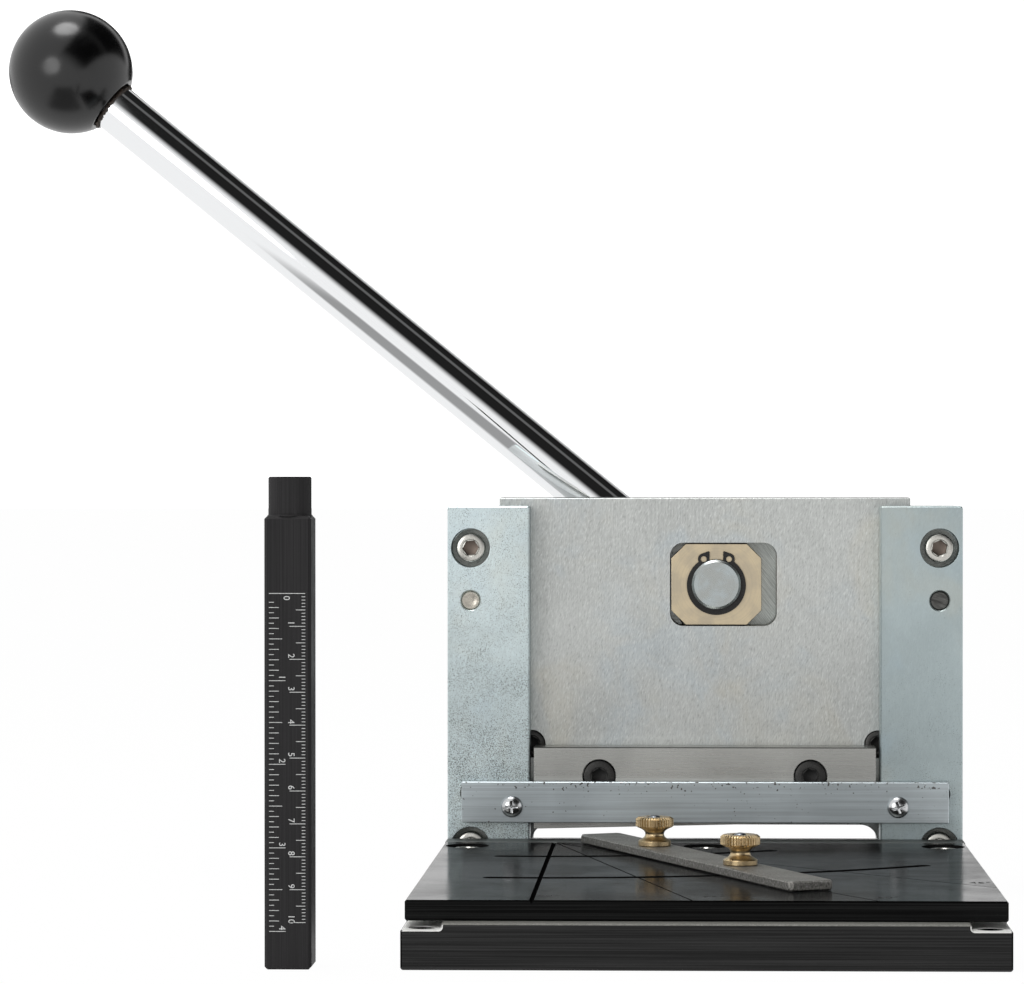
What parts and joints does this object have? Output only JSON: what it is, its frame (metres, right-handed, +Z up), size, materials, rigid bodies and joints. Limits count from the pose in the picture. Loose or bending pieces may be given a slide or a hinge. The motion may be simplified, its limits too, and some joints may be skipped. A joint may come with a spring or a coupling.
{
  "type": "guillotine shear",
  "caption": "Bench guillotine shear: a crank lever drives a guided ram and blade past a lower blade; slotted table with a swinging fence, and a separate gauge bar.",
  "frame": {"origin": "centre of the base plate's underside, on the bench", "axes": "+X to the right seen from the front, +Y from the front edge to the back, +Z up"},
  "size_m": [0.3527, 0.2829, 0.3247],
  "materials": {
    "black_base": "black anodised, fine satin",
    "black_table": "black anodised, satin, with fine lines across and engraved angle lines",
    "stainless_screw": "bright turned steel",
    "ground_steel": "ground, darkened",
    "black_screw": "black oxide",
    "zinc_plate": "bluish zinc plating on a ground face",
    "zinc_guide": "bluish zinc plating with brown speckles",
    "pin_steel": "faced end with turning marks",
    "guard_metal": "extruded bar, fine lengthwise lines",
    "bronze": "bearing bronze",
    "zinc_ram": "ground grain up and down under clear zinc",
    "blade_steel": "ground tool steel, warm grey",
    "turned_steel": "turned end, zinc plated",
    "black_spring": "black phosphated spring steel",
    "chrome": "polished chrome plating",
    "collar_brown": "dark ragged seal",
    "black_ball": "polished black phenolic",
    "blasted_steel": "bead blasted, matt",
    "stud_steel": "bright threaded stud",
    "brass": "turned and knurled brass",
    "black_gauge": "black anodised, satin, with a white scale"
  },
  "bodies": {
    "frame": {"base_plate": "black_base", "work_table": "black_table", "table_screws": "stainless_screw", "lower_blade": "ground_steel", "lower_blade_screws": "black_screw", "back_plate": "zinc_plate", "left_spacer": "zinc_plate", "right_spacer": "zinc_plate", "left_guide_plate": "zinc_guide", "right_guide_plate": "zinc_guide", "guide_screws": "stainless_screw", "dowel_pins": "pin_steel", "upright_screws": "black_screw", "guard_bar": "guard_metal", "guard_screws": "stainless_screw", "shaft_bush": "bronze"},
    "ram": {"ram_plate": "zinc_ram", "upper_blade": "blade_steel", "blade_screws": "black_screw", "ram_corner_screws": "black_screw"},
    "slider": {"slider_block": "bronze"},
    "lever": {"crank_shaft": "turned_steel", "pin_circlip": "black_spring", "thrust_washer": "bronze", "lever_hub": "zinc_plate", "hub_key": "turned_steel", "hub_set_screw": "black_screw", "hub_washer": "stainless_screw", "hub_bolt": "black_screw", "handle_rod": "chrome", "knob_collar": "collar_brown", "ball_knob": "black_ball"},
    "fence": {"fence_bar": "blasted_steel", "fence_studs": "stud_steel"},
    "rear_nut": {"rear_thumb_nut": "brass"},
    "front_nut": {"front_thumb_nut": "brass"},
    "gauge": {"gauge_bar": "black_gauge"}
  },
  "joints": [
    {"name": "lever_turn", "type": "hinge", "parent": "frame", "child": "lever", "pos_m": [0.0129, 0.1107, 0.109], "axis": [0, -1, 0], "range_deg": [0, 52]},
    {"name": "block_turn", "type": "hinge", "parent": "lever", "child": "slider", "pos_m": [0.00421, 0.0868, 0.11133], "axis": [0, -1, 0], "range_deg": [-52.5, 0.5]},
    {"name": "ram_slide", "type": "slide", "parent": "frame", "child": "ram", "axis": [0, 0, -1], "range_m": [-0.0001, 0.008]},
    {"name": "fence_swing", "type": "hinge", "parent": "frame", "child": "fence", "pos_m": [-0.0548, 0.1529, 0.02065], "axis": [0, 0, 1], "range_deg": [-19.5, 16]},
    {"name": "rear_nut_turn", "type": "hinge", "parent": "fence", "child": "rear_nut", "pos_m": [-0.01724, 0.00768, 0.02895], "axis": [0, 0, 1], "continuous": true},
    {"name": "front_nut_turn", "type": "hinge", "parent": "fence", "child": "front_nut", "pos_m": [0.01127, -0.05537, 0.02895], "axis": [0, 0, 1], "continuous": true},
    {"name": "gauge_lift", "type": "slide", "parent": "frame", "child": "gauge", "axis": [0, 0, 1], "range_m": [0, 0.05]}
  ],
  "couplings": [
    {"joint": "block_turn", "follows": "lever_turn", "ratio": -1},
    {"joint": "ram_slide", "follows": "lever_turn", "m_per_rad": 0.00865}
  ]
}
